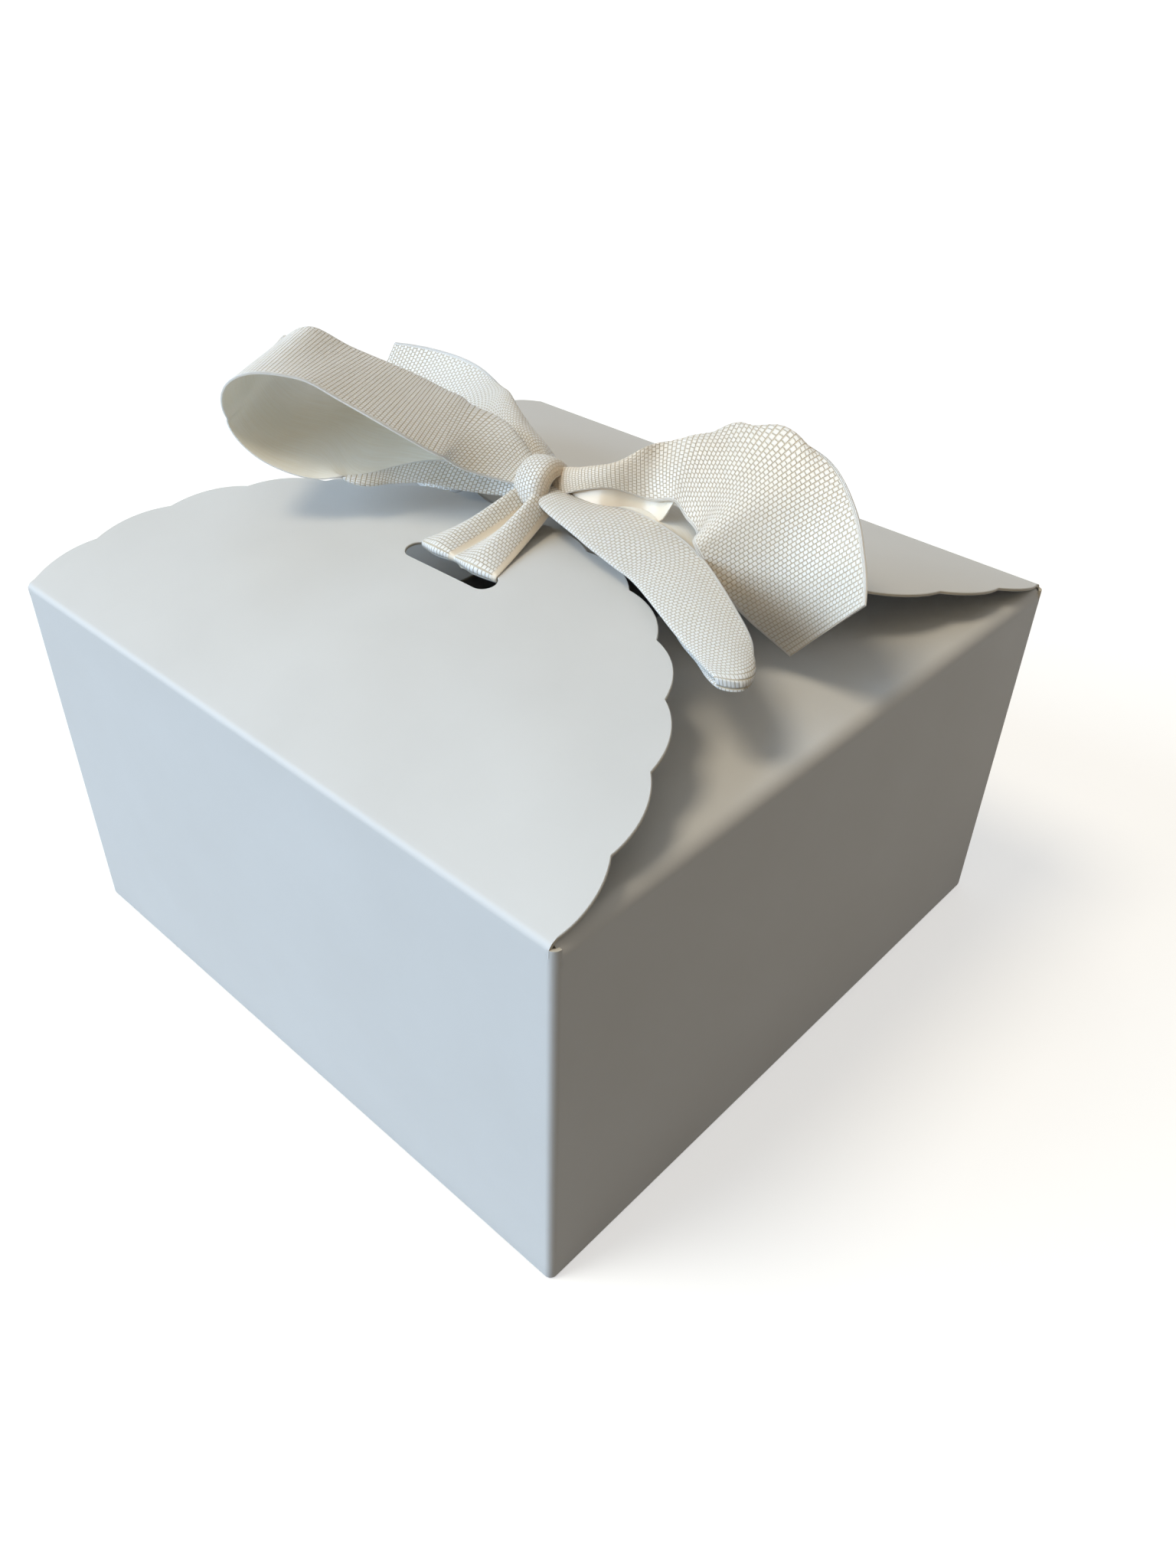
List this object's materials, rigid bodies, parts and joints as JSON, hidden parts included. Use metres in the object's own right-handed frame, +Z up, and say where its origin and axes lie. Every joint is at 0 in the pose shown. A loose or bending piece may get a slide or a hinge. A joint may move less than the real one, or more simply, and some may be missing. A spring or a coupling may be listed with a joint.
{
  "type": "favor box",
  "caption": "Square white card favor box with scalloped lid flaps over dust flaps and a snap-lock base, tied shut with a satin ribbon bow.",
  "frame": {"origin": "middle of the base, on the surface that the box stands on", "axes": "+Z up, -Y towards the wall under the bow's front slot, +X to the right of that wall"},
  "size_m": [0.115, 0.115, 0.0979],
  "materials": {
    "card": "matte, faintly pearly white board",
    "ribbon": "ivory woven satin"
  },
  "bodies": {
    "carton": {"front_wall": "card", "right_wall": "card", "back_wall": "card", "left_wall": "card", "glue_tab": "card", "bottom_main_flap": "card", "bottom_side_flap_left": "card", "bottom_side_flap_right": "card", "bottom_tuck_flap": "card"},
    "front_lid": {"front_scallop_flap": "card", "ribbon_knot": "ribbon", "ribbon_left_loop": "ribbon", "ribbon_right_loop": "ribbon", "ribbon_left_tail": "ribbon", "ribbon_right_tail": "ribbon", "ribbon_front_strand": "ribbon", "ribbon_back_strand": "ribbon", "ribbon_under_run": "ribbon"},
    "back_lid": {"back_scallop_flap": "card"},
    "right_dust": {"right_dust_flap": "card"},
    "left_dust": {"left_dust_flap": "card"}
  },
  "joints": [
    {"name": "front_flap_hinge", "type": "hinge", "parent": "carton", "child": "front_lid", "pos_m": [0, -0.05725, 0.06475], "axis": [1, 0, 0], "range_deg": [0, 140], "deforming": ["ribbon_back_strand", "ribbon_under_run"]},
    {"name": "back_flap_hinge", "type": "hinge", "parent": "carton", "child": "back_lid", "pos_m": [0, 0.05725, 0.06475], "axis": [-1, 0, 0], "range_deg": [0, 140]},
    {"name": "right_dust_hinge", "type": "hinge", "parent": "carton", "child": "right_dust", "pos_m": [0.05725, 0, 0.06475], "axis": [0, 1, 0], "range_deg": [0, 105]},
    {"name": "left_dust_hinge", "type": "hinge", "parent": "carton", "child": "left_dust", "pos_m": [-0.05725, 0, 0.06475], "axis": [0, -1, 0], "range_deg": [0, 105]}
  ],
  "couplings": [
    {"joint": "back_flap_hinge", "follows": "front_flap_hinge", "ratio": 1},
    {"joint": "right_dust_hinge", "follows": "front_flap_hinge", "ratio": 0.75},
    {"joint": "left_dust_hinge", "follows": "front_flap_hinge", "ratio": 0.75}
  ]
}
